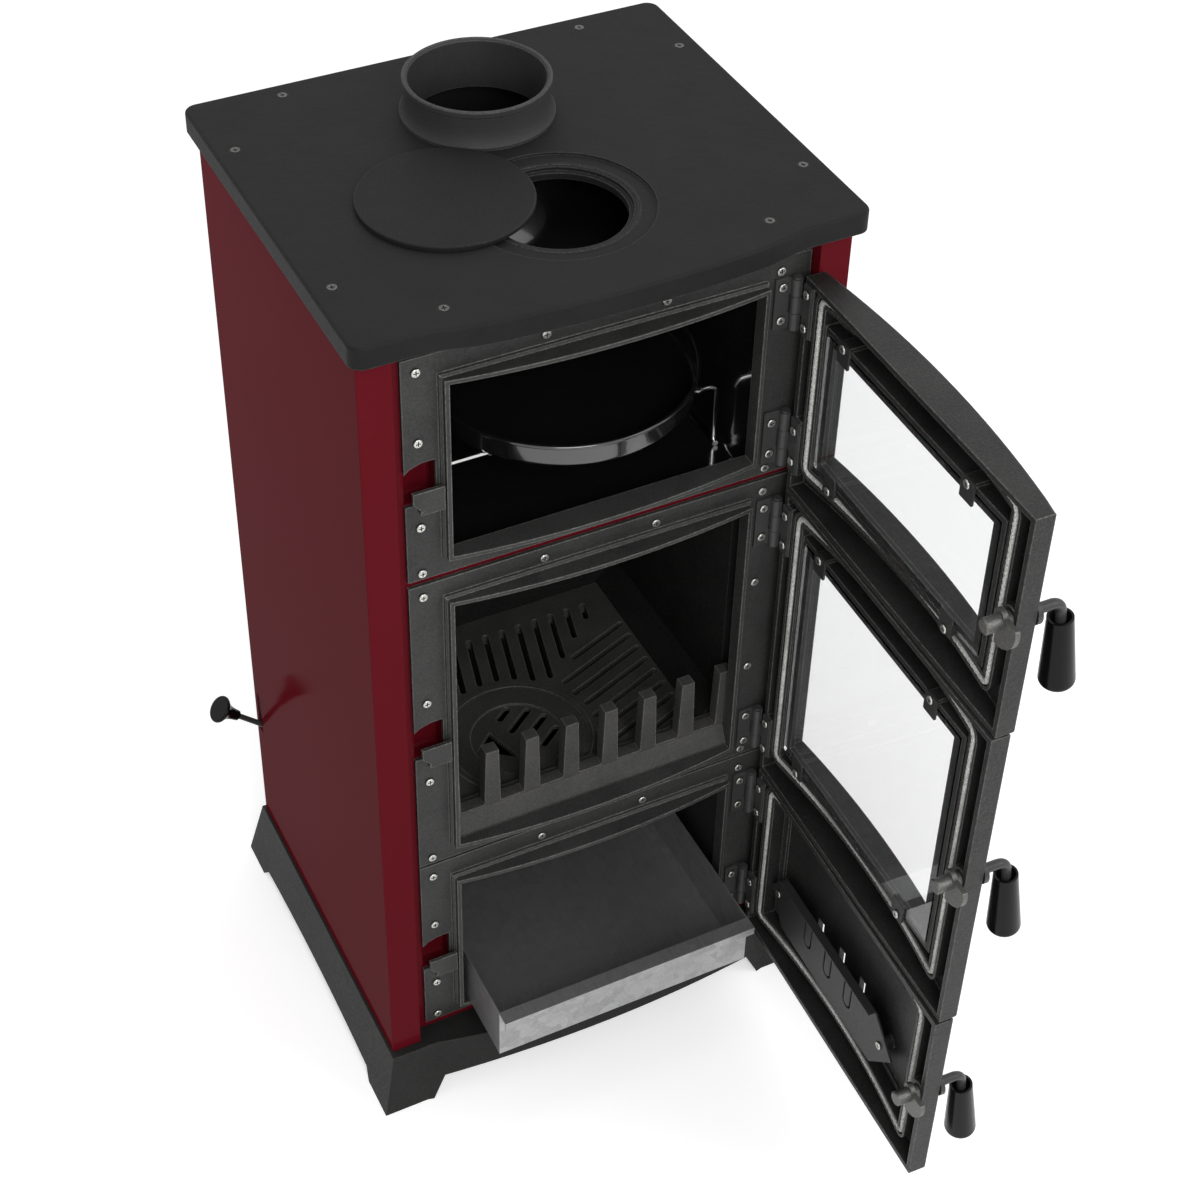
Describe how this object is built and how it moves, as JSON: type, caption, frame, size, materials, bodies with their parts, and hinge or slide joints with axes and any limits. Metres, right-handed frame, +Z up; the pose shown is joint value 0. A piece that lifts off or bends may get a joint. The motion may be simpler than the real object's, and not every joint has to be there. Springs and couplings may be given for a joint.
{
  "type": "wood-burning stove with oven",
  "caption": "Upright wood stove with a cooking hob, flue collar, glazed oven and firebox doors, ash door with air slots, pull-out ash tray and bowed cast plinth.",
  "frame": {"origin": "on the flue collar's axis, level with the top of the hob plate", "axes": "+X to the right seen from the front, +Y to the back, +Z up along the flue"},
  "size_m": [0.5207, 0.7299, 0.9886],
  "materials": {
    "red_enamel": "glossy burgundy enamel",
    "hob_casting": "matt charcoal coated casting",
    "grey_casting": "satin dark grey coated casting with a fine cast grain",
    "grate_casting": "matt black casting",
    "zinc_screw": "zinc plated",
    "hinge_steel": "satin grey",
    "rope": "braided glass rope",
    "clip_steel": "satin grey pressed steel",
    "pane": "clear heat-proof glass",
    "latch_casting": "bare satin casting",
    "handle_steel": "satin dark steel",
    "black_plastic": "glossy black",
    "casing_steel": "black heat-proof paint",
    "galvanized": "galvanized sheet",
    "black_enamel": "glossy black enamel",
    "wire_steel": "bright wire"
  },
  "bodies": {
    "stove": {"plinth": "grey_casting", "side_panel_left": "red_enamel", "side_panel_right": "red_enamel", "back_panel": "galvanized", "front_sheet": "red_enamel", "top_plate": "hob_casting", "top_plate_screws": "zinc_screw", "flue_collar": "hob_casting", "oven_frame": "grey_casting", "firebox_frame": "grey_casting", "ash_frame": "grey_casting", "frame_screws": "zinc_screw", "hinge_frame_leaves": "hinge_steel", "hinge_pins": "hinge_steel", "inner_casing": "casing_steel", "ash_box": "casing_steel", "air_lever_lugs": "casing_steel", "oven_box": "black_enamel", "oven_rack": "wire_steel", "firebox_liner_left": "grate_casting", "firebox_liner_right": "grate_casting", "firebox_liner_back": "grate_casting", "grate_plate": "grate_casting", "log_fence": "grate_casting"},
    "lid": {"hob_lid": "hob_casting"},
    "pan": {"baking_pan": "black_enamel"},
    "grate_insert": {"round_grate": "grate_casting"},
    "air_control": {"air_lever": "handle_steel", "air_lever_knob": "black_plastic", "air_flap": "casing_steel"},
    "tray": {"ash_tray": "galvanized"},
    "oven_door_leaf": {"oven_door": "grey_casting", "oven_door_rope": "rope", "oven_door_hinge_leaves": "hinge_steel", "oven_door_screws": "zinc_screw", "oven_handle_rosette": "handle_steel", "oven_door_glass": "pane", "oven_glass_clips": "clip_steel"},
    "oven_handle": {"oven_latch_cam": "latch_casting", "oven_handle_rod": "handle_steel", "oven_handle_grip": "black_plastic"},
    "firebox_door_leaf": {"firebox_door": "grey_casting", "firebox_door_rope": "rope", "firebox_door_hinge_leaves": "hinge_steel", "firebox_door_screws": "zinc_screw", "firebox_handle_rosette": "handle_steel", "firebox_door_glass": "pane", "firebox_glass_clips": "clip_steel"},
    "firebox_handle": {"firebox_latch_cam": "latch_casting", "firebox_handle_rod": "handle_steel", "firebox_handle_grip": "black_plastic"},
    "ash_door_leaf": {"ash_door": "grey_casting", "ash_door_rope": "rope", "ash_door_hinge_leaves": "hinge_steel", "ash_door_screws": "zinc_screw", "ash_handle_rosette": "handle_steel", "ash_door_air_plate": "clip_steel"},
    "ash_handle": {"ash_latch_cam": "latch_casting", "ash_handle_rod": "handle_steel", "ash_handle_grip": "black_plastic"}
  },
  "joints": [
    {"name": "oven_door_swing", "type": "hinge", "parent": "stove", "child": "oven_door_leaf", "pos_m": [0.1748, -0.2585, -0.15], "axis": [0, 0, 1], "range_deg": [-89, 4]},
    {"name": "oven_handle_turn", "type": "hinge", "parent": "oven_door_leaf", "child": "oven_handle", "pos_m": [0.16893, -0.59495, -0.165], "axis": [-0.9998, 0.0175, 0], "range_deg": [0, 90]},
    {"name": "firebox_door_swing", "type": "hinge", "parent": "stove", "child": "firebox_door_leaf", "pos_m": [0.1748, -0.2585, -0.449], "axis": [0, 0, 1], "range_deg": [-88.5, 4]},
    {"name": "firebox_handle_turn", "type": "hinge", "parent": "firebox_door_leaf", "child": "firebox_handle", "pos_m": [0.16599, -0.59488, -0.464], "axis": [-0.9997, 0.0262, 0], "range_deg": [0, 90]},
    {"name": "ash_door_swing", "type": "hinge", "parent": "stove", "child": "ash_door_leaf", "pos_m": [0.1748, -0.2585, -0.745], "axis": [0, 0, 1], "range_deg": [-88, 4]},
    {"name": "ash_handle_turn", "type": "hinge", "parent": "ash_door_leaf", "child": "ash_handle", "pos_m": [0.16306, -0.59479, -0.76], "axis": [-0.9994, 0.0349, 0], "range_deg": [0, 90]},
    {"name": "ash_tray_slide", "type": "slide", "parent": "stove", "child": "tray", "axis": [0, -1, 0], "range_m": [-0.1002, 0.005]},
    {"name": "lid_lift", "type": "slide", "parent": "stove", "child": "lid", "axis": [0, 0, 1], "range_m": [0, 0.15]},
    {"name": "pan_slide", "type": "slide", "parent": "stove", "child": "pan", "axis": [0, -1, 0], "range_m": [0, 0.25]},
    {"name": "grate_turn", "type": "hinge", "parent": "stove", "child": "grate_insert", "pos_m": [-0.041, -0.1695, -0.6], "axis": [0, 0, 1], "range_deg": [-20, 20]},
    {"name": "air_lever_turn", "type": "hinge", "parent": "stove", "child": "air_control", "pos_m": [-0.157, 0.0845, -0.8], "axis": [0, 1, 0], "range_deg": [0, 12]}
  ],
  "couplings": [
    {"joint": "ash_tray_slide", "follows": "ash_door_swing", "m_per_rad": 0.065109}
  ]
}
